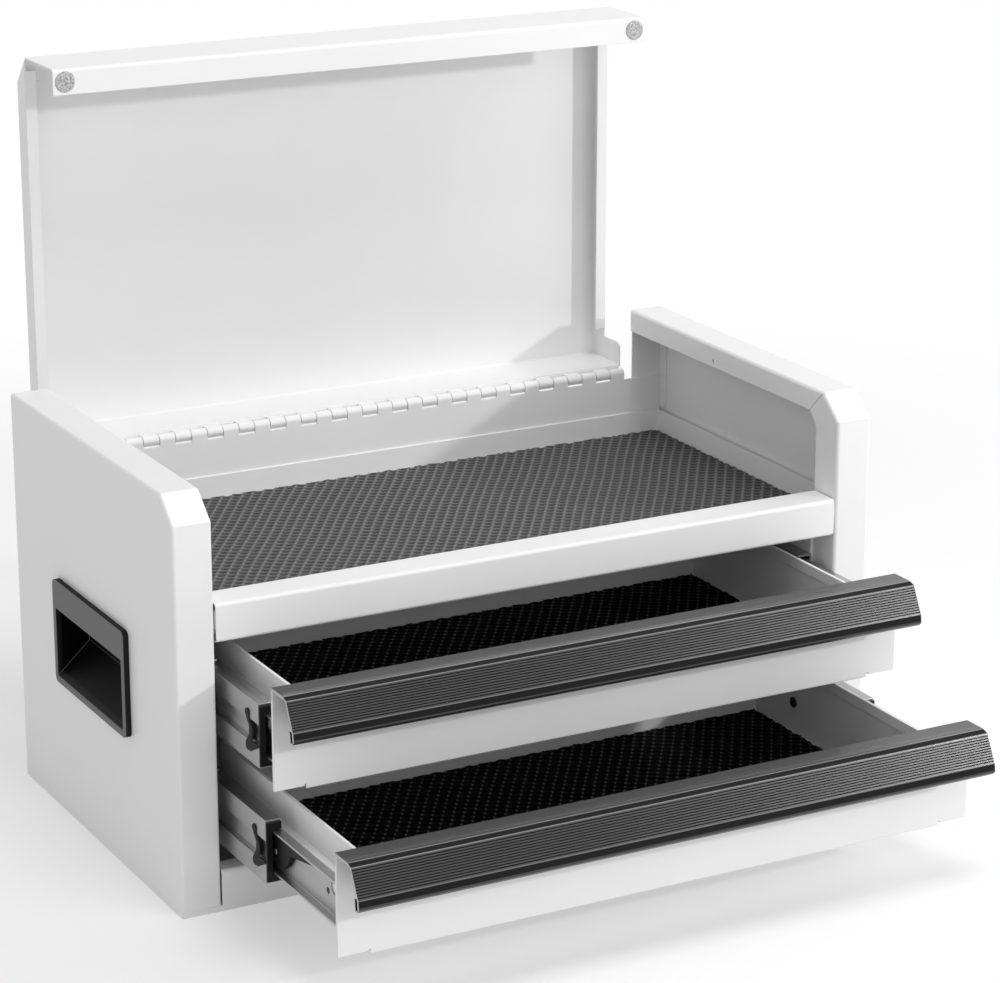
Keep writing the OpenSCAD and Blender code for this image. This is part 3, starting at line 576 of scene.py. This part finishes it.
def grid_quads(rows, columns):
    """Faces of a grid whose points are numbered row by row: each joins a point to the next one in
    its row, and both to the same columns of the next row."""
    first = (np.arange(rows - 1)[:, None] * columns + np.arange(columns - 1)[None, :]).ravel()
    return np.stack([first, first + 1, first + columns + 1, first + columns], axis=1)


def new_piece(name, points, faces, finish, merge=True):
    """A mesh object from points in metres and faces of point numbers, shaded smooth."""
    mesh = bpy.data.meshes.new(name)
    mesh.from_pydata(points.tolist(), [], [list(face) for face in faces])
    if merge:
        shape = bmesh.new()
        shape.from_mesh(mesh)
        bmesh.ops.remove_doubles(shape, verts=shape.verts, dist=MERGE_DISTANCE)
        bmesh.ops.recalc_face_normals(shape, faces=shape.faces)
        shape.to_mesh(mesh)
        shape.free()
    mesh.polygons.foreach_set("use_smooth", np.ones(len(mesh.polygons), bool))
    mesh.materials.append(finish)
    piece = bpy.data.objects.new(name, mesh)
    scene.collection.objects.link(piece)
    print("piece:", name, "faces:", len(mesh.polygons))
    return piece


# %% [markdown]
# ## Net mats
# The tray and both drawers are lined with a non-slip mat: a coarse net of threads dipped in black
# foam, so round strands cross on a thin backing and swell where they meet. It could be a bump map,
# but the strands are 2 mm thick and catch the light one by one, so they are real relief here. The
# grid of points is turned to follow the strands, with its lines closest together across each strand,
# and everything past the edge is pulled back onto a slightly uneven cut line.

# %% Net finish
def foam(tree):
    """The small bubbles of the foam."""
    return use_group(tree, grain, Fine_Scale=1500.0, Cloud_Scale=40.0)


def net_finish(name, hole, crown, painted_light_range, specular):
    """Foam with painted light: from a painted shade in the holes to a painted highlight on the crowns
    of the strands, where the strand's height passes through the given range."""
    material, shader = new_finish(
        name, colour=lambda tree: shade_mix(
            tree, value_range(tree, attribute(tree, "strand"), painted_light_range, (0.0, 1.0)), hole, crown),
        roughness=lambda tree: value_range(tree, foam(tree).outputs["Fine"], NOISE_SPAN, (0.45, 0.62)),
        height=lambda tree: foam(tree).outputs["Fine"], radius=0.0001, depth=0.00002)
    shader.inputs["Specular IOR Level"].default_value = specular
    return material


# Lit and shaded copies of one foam: the tray's mat has a painted highlight on all its strands, while the
# drawers' mats, which lie in shade, get darker holes, light only on the crossings and little reflection.
lit_tray_foam = net_finish("tray_net_foam_painted_light", hole=0.010, crown=0.17, painted_light_range=(0.0, 1.0), specular=0.5)
shaded_drawer_foam = net_finish("drawer_net_foam_painted_shade", hole=0.002, crown=0.14, painted_light_range=(0.76, 0.86), specular=0.08)

# %% Net lines
NET_PITCH = 6.3 * MM
STRAND_HALF, STRAND_MARGIN = 1.1 * MM, 1.02
NET_STEPS = np.array([-1.0, -0.5, 0.5, 1.0]) * STRAND_HALF


def net_ticks(extent):
    """Grid lines across the strands: four on every strand and one in the middle of each hole."""
    count = int(extent / NET_PITCH) + 1
    middles = NET_PITCH * np.arange(-count, count + 1)
    steps = np.append(NET_STEPS, NET_PITCH / 2)
    return (middles[:, None] + steps[None, :]).ravel()


def strand_round(across):
    """Height of a strand over its width, as the root of one minus the square of the distance from
    its middle line, which is a half round; 0 beyond its edge."""
    distance = (across + NET_PITCH / 2) % NET_PITCH - NET_PITCH / 2
    return np.sqrt(np.clip(1.0 - (distance / (STRAND_HALF * STRAND_MARGIN)) ** 2, 0.0, None))


# %% Net surface
NET_ANGLE = np.radians(56.0)
NET_BACKING, NET_CUT, NET_DRIFT = 0.45 * MM, 0.5 * MM, 0.35 * MM
SWELL, CROSS_SHARE, LEAST_AREA = 0.14, 0.72, 1e-9


def uneven(place, short, long):
    """How far the cut line lies inside the box: NET_CUT times one plus the product of a short and a
    long sine wave along the edge."""
    return NET_CUT * (1.0 + np.sin(place / short) * np.sin(place / long))


def net_surface(low, high):
    """Points, strand heights and faces of the net over a box.

    The height over the backing is the greater of the two strand families. The main one runs at
    NET_ANGLE, drifts sideways by a sine, and swells by a cosine at every crossing; the cross one is
    CROSS_SHARE as high. Faces that lie past a cut line, or are left without area, are dropped."""
    centre, half = (low + high) / 2, (high - low) / 2
    c, s = np.cos(NET_ANGLE), np.sin(NET_ANGLE)
    along, across = np.meshgrid(net_ticks(half[0] * c + half[1] * s),
                                net_ticks(half[0] * s + half[1] * c), indexing="ij")
    main = strand_round(across) * (1.0 - SWELL + SWELL * np.cos(2 * np.pi * along / NET_PITCH))
    strand = np.maximum(main, CROSS_SHARE * strand_round(along)).ravel()
    drift = NET_DRIFT * np.sin(along / 0.021 + np.sin(across / 0.034))
    x = (centre[0] + along * c - (across + drift) * s).ravel()
    y = (centre[1] + along * s + (across + drift) * c).ravel()
    left, right = low[0] + uneven(y, 0.0045, 0.027), high[0] - uneven(y, 0.0042, 0.031)
    front, back = low[1] + uneven(x, 0.0043, 0.029), high[1] - uneven(x, 0.0047, 0.037)
    top = low[2] + NET_BACKING + (high[2] - low[2] - NET_BACKING) * strand
    points = np.stack([np.clip(x, left, right), np.clip(y, front, back), top], axis=1)

    quads = grid_quads(*along.shape)[:, ::-1]
    outside = [x > right, x < left, y > back, y < front]
    quads = quads[~np.any([side[quads].all(axis=1) for side in outside], axis=0)]
    diagonal_a = points[quads[:, 2], :2] - points[quads[:, 0], :2]
    diagonal_b = points[quads[:, 3], :2] - points[quads[:, 1], :2]
    area = 0.5 * (diagonal_a[:, 0] * diagonal_b[:, 1] - diagonal_a[:, 1] * diagonal_b[:, 0])
    used, quads = np.unique(quads[area > LEAST_AREA], return_inverse=True)
    return points[used], strand[used], quads.reshape(-1, 4)


# %% Closed mats
BASE_LIFT = 0.03 * MM


def closed_below(points, quads, middle):
    """Points and faces of the net closed to a solid: an edge that only one face has is on the rim, a
    skirt drops from it to the height of the middle point, and triangles fan out from that point."""
    edges = np.concatenate([quads[:, [i, (i + 1) % 4]] for i in range(4)])
    _, index, count = np.unique(np.sort(edges, axis=1), axis=0, return_index=True, return_counts=True)
    rim_points, rim = np.unique(edges[index[count == 1]], return_inverse=True)
    rim = rim.reshape(-1, 2)
    under = points[rim_points] * [1, 1, 0] + [0, 0, middle[2]]
    start = len(points)
    a, b = rim_points[rim[:, 0]], rim_points[rim[:, 1]]
    skirt = np.stack([b, a, start + rim[:, 0], start + rim[:, 1]], axis=1)
    hub = np.full(len(rim), start + len(under))
    base = np.stack([start + rim[:, 0], hub, start + rim[:, 1]], axis=1)
    points = np.concatenate([points, under, middle[None, :]])
    return points, quads.tolist() + skirt.tolist() + base.tolist()


def net_mat(name, node, finish):
    """The net over the box of a CAD mat, closed below, with its strand heights as an attribute."""
    low, high = (np.array(corner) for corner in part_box(node))
    net, strand, quads = net_surface(low, high)
    middle = np.append((low[:2] + high[:2]) / 2, low[2] + BASE_LIFT)
    points, faces = closed_below(net, quads, middle)
    piece = new_piece(name, points, faces, finish, merge=False)
    piece.data.polygons.foreach_set("use_smooth", np.arange(len(faces)) < len(quads))
    height = np.append(strand, np.zeros(len(points) - len(strand)))
    piece.data.attributes.new("strand", "FLOAT", "POINT").data.foreach_set("value", height)
    return piece


for name, node, body, finish in (("tray_net_mat", "tray_mat", "cabinet", lit_tray_foam),
                                 ("upper_net_mat", "upper_mat", "upper_drawer", shaded_drawer_foam),
                                 ("lower_net_mat", "lower_mat", "lower_drawer", shaded_drawer_foam)):
    mat = net_mat(name, node, finish)
    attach(mat, body)
    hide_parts(node)

# %% [markdown]
# ## Felt pads
# Two round felt pads under the lid's return flange soften its fall. Felt is pressed wool: a mottled
# grey disc with a rounded, slightly fuzzy rim. Each is a round grid, from the middle of its face out
# to the rim and back to the flange, with a small uneven lift.

# %% Felt finish
def fibres(tree):
    """The tangle of wool, fine and coarse."""
    return use_group(tree, grain, Fine_Scale=900.0, Cloud_Scale=420.0)


felt, felt_shader = new_finish(
    "grey_felt",
    colour=lambda tree: shade_mix(
        tree, value_range(tree, fibres(tree).outputs["Fine"], (0.38, 0.62), (0.0, 1.0)), 0.30, 0.62),
    roughness=lambda tree: value_range(tree, fibres(tree).outputs["Cloud"], NOISE_SPAN, (0.85, 1.0)),
    height=lambda tree: fibres(tree).outputs["Fine"], radius=0.0002, depth=0.0001)
felt_shader.inputs["Sheen Weight"].default_value = 0.3

# %% Felt pad shape
PAD_ROUND, PAD_RINGS, PAD_RIPPLE = 48, 14, 0.06
pad_low, pad_high = (np.array(corner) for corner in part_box("lid_pads"))
pad_radius = (pad_high[2] - pad_low[2]) / 2


def felt_pad(x):
    """A crowned disc on the flange's face.

    The distance from the axis runs out to the radius and back; the lift off the flange is the full
    thickness times one minus the sixth power of the distance, to the power 0.4, with a fine ripple."""
    reach = np.append(np.sin(np.linspace(0.0, np.pi / 2, PAD_RINGS)), [1.0, 0.0])
    turn = np.linspace(0.0, 2 * np.pi, PAD_ROUND + 1)
    ring, angle = np.meshgrid(reach, turn, indexing="ij")
    lift = (1.0 - np.clip(ring, 0.0, 1.0) ** 6) ** 0.4
    ripple = np.sin(11 * ring * np.cos(angle) + 3) * np.sin(13 * ring * np.sin(angle))
    lift *= 1.0 - PAD_RIPPLE * (1.0 + ripple)
    lift[-2:] = 0.0
    thickness = pad_high[1] - pad_low[1]
    points = np.stack([x + pad_radius * ring * np.cos(angle),
                       pad_high[1] - thickness * lift,
                       (pad_low[2] + pad_high[2]) / 2 + pad_radius * ring * np.sin(angle)], axis=-1)
    return points.reshape(-1, 3), grid_quads(*ring.shape)


left_points, pad_quads = felt_pad(pad_low[0] + pad_radius)
right_points, _ = felt_pad(pad_high[0] - pad_radius)
felt_pads = new_piece("lid_felt_pads", np.concatenate([left_points, right_points]),
                      np.concatenate([pad_quads, pad_quads + len(left_points)]), felt)
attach(felt_pads, "lid")
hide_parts("lid_pads")

# %% [markdown]
# ## Pulls
# Each pull is one extrusion: a flat top that hooks over the drawer front, a plain shoulder, a sloping
# face with eleven ribs between two plain lands, an upright band and a small hook turned up inside. An
# extrusion is a section drawn once and carried along a line, so the section is an array of points and
# the bar is that array at four places along X: at both ends, and close to them. The corners get small
# rounds, because a sharp corner never shines. Between the grooves the ribs keep flat crowns, which
# all shine together when the light is right.

# %% Pull section
RIBS, LAND, RIB_DEEP = 11, 0.8 * MM, 0.36 * MM
GROOVE_PLACE, GROOVE_DEPTH = np.array([0.3, 0.5, 0.7]), np.array([0.0, 1.0, 0.0])
NOSE_ROUND, LAND_ROUND, TOE_ROUND = 0.6 * MM, 0.3 * MM, 0.8 * MM
BACK, NOSE = np.array([-2.0, 0.0]) * MM, np.array([14.0, 0.0]) * MM
RIB_START, RIB_END = np.array([18.6, -1.4]) * MM, np.array([27.2, -17.9]) * MM
TOE, HEEL = np.array([28.0, -23.1]) * MM, np.array([25.6, -25.5]) * MM


def corner_round(before, corner, after, radius, steps=5):
    """A round at a corner, from tangent point to tangent point, as a quadratic curve whose control
    point is the corner; a support point before and after it keeps the flats beside it flat."""
    back = (before - corner) / np.linalg.norm(before - corner)
    on = (after - corner) / np.linalg.norm(after - corner)
    share = np.linspace(0.0, 1.0, steps)[:, None]
    curve = corner + (1 - share) ** 2 * radius * back + share ** 2 * radius * on
    return np.concatenate([[corner + 1.5 * radius * back], curve, [corner + 1.5 * radius * on]])


def rib_face():
    """The sloping face: along the slope a groove with two straight walls, RIB_DEEP deep and two
    fifths of the pitch wide, lies in the middle of every pitch between the two lands."""
    run = np.linalg.norm(RIB_END - RIB_START)
    slope = (RIB_END - RIB_START) / run
    pitch = (run - 2 * LAND) / RIBS
    along = (LAND + pitch * (np.arange(RIBS)[:, None] + GROOVE_PLACE)).ravel()
    inward = RIB_DEEP * np.array([slope[1], -slope[0]])
    return RIB_START + along[:, None] * slope + np.tile(GROOVE_DEPTH, RIBS)[:, None] * inward


nose = corner_round(BACK, NOSE, RIB_START, NOSE_ROUND)
land_top = corner_round(NOSE, RIB_START, RIB_END, LAND_ROUND)
ribs = rib_face()
land_low = corner_round(RIB_START, RIB_END, TOE, LAND_ROUND)
toe = corner_round(RIB_END, TOE, HEEL, TOE_ROUND)
inside = np.array([[22.7, -25.5], [21.8, -18.5], [22.9, -18.5], [23.8, -24.4], [26.2, -24.4],
                   [25.6, -18.7], [16.8, -1.8], [-0.8, -1.8], [-0.8, -7.8], [-1.5, -7.8],
                   [-1.5, -1.8], [-2.0, -1.8]]) * MM
heel = corner_round(TOE, HEEL, inside[0], TOE_ROUND)
section = np.concatenate([BACK[None, :], nose, land_top, ribs, land_low, toe, heel, inside])
print("points in a pull's section:", len(section))

# %% [markdown]
# ## Faces of the section
# Each face of the bar runs from one point of the section to the next, so an array with one value for
# every point can say what its face is. shine holds how much painted highlight and reflection each
# face gets, as a light metal colour. The others are masks: the dull shoulder and band, the ribbed
# slope, the walls of its grooves, and the inside of the bar.

# %% Faces of the section
# Painted highlight and reflection: shares of light metal colour on the top, the nose, the two lands and
# the toe.
TOP_SHINE, NOSE_SHINE, START_SHINE, END_SHINE, TOE_SHINE = 0.14, 0.7, 0.5, 0.3, 0.06
lengths = [1] + [len(part) for part in (nose, land_top, ribs, land_low)]
nose_at, start_at, ribs_at, end_at, toe_at = np.cumsum(lengths)
number = np.arange(len(section))
shine = np.zeros(len(section))
shine[:nose_at + 1] = TOP_SHINE
shine[nose_at + 1:nose_at + 5] = NOSE_SHINE
shine[start_at + 1:start_at + 6] = START_SHINE
shine[end_at:end_at + 5] = END_SHINE
shine[toe_at:toe_at + len(toe) + 4] = TOE_SHINE
on_shoulder = (number >= nose_at + 5) & (number < start_at + 1)
on_band = (number >= end_at + 5) & (number < toe_at)
on_ribs = (number >= ribs_at - 1) & (number < end_at)
groove_point = (number - ribs_at) % len(GROOVE_PLACE)
in_groove = on_ribs & (number >= ribs_at) & (groove_point < len(GROOVE_PLACE) - 1)
on_inside = number >= len(section) - len(inside)
print("groove walls in a pull's section:", in_groove.sum())

# %% Pulls
END_STRIP = 0.3 * MM


def pull_bar(name, node):
    """The section carried along X between the ends of a CAD pull, closed by a face at each end.

    A ring of points END_STRIP from each end keeps the shading of the end faces out of the bar."""
    low, high = (np.array(corner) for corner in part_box(node))
    face = high[1] + BACK[0]
    count = len(section)
    rings = np.array([low[0], low[0] + END_STRIP, high[0] - END_STRIP, high[0]])
    points = np.stack([np.repeat(rings, count), np.tile(face - section[:, 0], len(rings)),
                       np.tile(high[2] + section[:, 1], len(rings))], axis=1)
    first = np.arange(count)
    after = (first + 1) % count
    strip = np.stack([first, after, after + count, first + count], axis=1)
    strips = len(rings) - 1
    sides = (strip[None, :, :] + count * np.arange(strips)[:, None, None]).reshape(-1, 4)
    faces = sides.tolist() + [first[::-1].tolist(), (first + count * strips).tolist()]
    piece = new_piece(name, points, faces, anodised, merge=False)
    piece.data.materials.append(dull_band)
    piece.data.materials.append(cut_end)
    is_dull = on_shoulder | on_band | in_groove
    kind = np.append(np.tile(is_dull.astype(int), strips), [2, 2])
    piece.data.polygons.foreach_set("material_index", kind)
    smooth = np.append(np.tile(~(on_ribs | on_inside), strips), [False, False])
    piece.data.polygons.foreach_set("use_smooth", smooth)
    # The painted highlight and reflection of each face, as a face attribute.
    painted_shine = np.append(np.tile(shine, strips), [0.0, 0.0])
    piece.data.attributes.new("painted_shine", "FLOAT", "FACE").data.foreach_set("value", painted_shine)
    return piece


for drawer in DRAWERS:
    pull = pull_bar(f"{drawer}_pull_bar", f"{drawer}_pull")
    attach(pull, f"{drawer}_drawer")
    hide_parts(f"{drawer}_pull")

# %% [markdown]
# ## Screws
# The slides are screwed on from inside the drawer box with blacked pan-head screws. A pan head is
# a low dome with a cross recess for the driver. In the solids it is a plain disc; here each screw is a
# round grid: out from the middle of the head over its dome, round its rim to the wall, and down the
# shank to the rail. The recess is pressed in where a point lies inside one of the two arms of the cross.

# %% Screws
HEAD_RINGS, HEAD_ROUND = 30, 96
SCREW_PLACES = {"upper": np.array([0.0, 1.0]), "lower": np.array([0.0, 0.797, 1.0])}
CROSS_LONG, CROSS_HALF, CROSS_DEEP, CROSS_SOFT = 1.9 * MM, 0.5 * MM, 1.0 * MM, 0.3 * MM
HEAD_HIGH, HEAD_DOME, SHANK_R, WALL = 1.8 * MM, 0.9, 1.9 * MM, 1.0 * MM


def step_down(value, edge):
    """1 below the edge and 0 above it, with a straight ramp as wide as CROSS_SOFT around the edge."""
    return np.clip((edge - value) / CROSS_SOFT + 0.5, 0.0, 1.0)


def pan_screw(head_r, length):
    """Points of one screw along X, with its head's rim on X = 0 and its shank towards -X.

    Over the head the height is a dome, HEAD_HIGH times the root of one minus HEAD_DOME times the
    square of the distance as a share of head_r, less the depth of the cross, which is full inside
    either arm and fades at its edge."""
    reach = head_r * np.linspace(0.0, 1.0, HEAD_RINGS)
    turn = np.linspace(0.0, 2 * np.pi, HEAD_ROUND + 1)
    ring, angle = np.meshgrid(reach, turn, indexing="ij")
    across, up = np.abs(ring * np.cos(angle)), np.abs(ring * np.sin(angle))
    arm = np.maximum(step_down(across, CROSS_LONG) * step_down(up, CROSS_HALF),
                     step_down(up, CROSS_LONG) * step_down(across, CROSS_HALF))
    height = HEAD_HIGH * np.sqrt(1.0 - HEAD_DOME * (ring / head_r) ** 2) - CROSS_DEEP * arm
    tail_r = np.array([head_r, SHANK_R, SHANK_R, 0.0])[:, None] * np.ones_like(turn)
    tail_x = np.array([0.0, 0.0, -length, -length])[:, None] * np.ones_like(turn)
    radius = np.concatenate([ring, tail_r])
    x = np.concatenate([height, tail_x])
    points = np.stack([x, radius * np.cos(turn), radius * np.sin(turn)], axis=-1)
    return points.reshape(-1, 3), grid_quads(*radius.shape)


def drawer_screws(drawer):
    """All the screws in one drawer: along each wall, the right ones mirrored from the left."""
    low, high = (np.array(corner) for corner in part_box(f"{drawer}_screws"))
    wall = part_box(f"{drawer}_sides")[1][0] - WALL
    head_r, length = (high[2] - low[2]) / 2, high[0] - wall
    points, quads = pan_screw(head_r, length)
    y_places = SCREW_PLACES[drawer] * (high[1] - low[1] - 2 * head_r) + low[1] + head_r
    z = (low[2] + high[2]) / 2
    middles = np.array([[side * wall, y, z] for side in (-1, 1) for y in y_places])
    flips = np.array([[-side, 1, 1] for side in (-1, 1) for _ in y_places])
    every = points[None, :, :] * flips[:, None, :] + middles[:, None, :]
    faces = quads[None, :, :] + len(points) * np.arange(len(middles))[:, None, None]
    return every.reshape(-1, 3), faces.reshape(-1, 4)


for drawer in DRAWERS:
    screws = new_piece(f"{drawer}_pan_screws", *drawer_screws(drawer), black_oxide)
    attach(screws, f"{drawer}_drawer")
    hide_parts(f"{drawer}_screws")
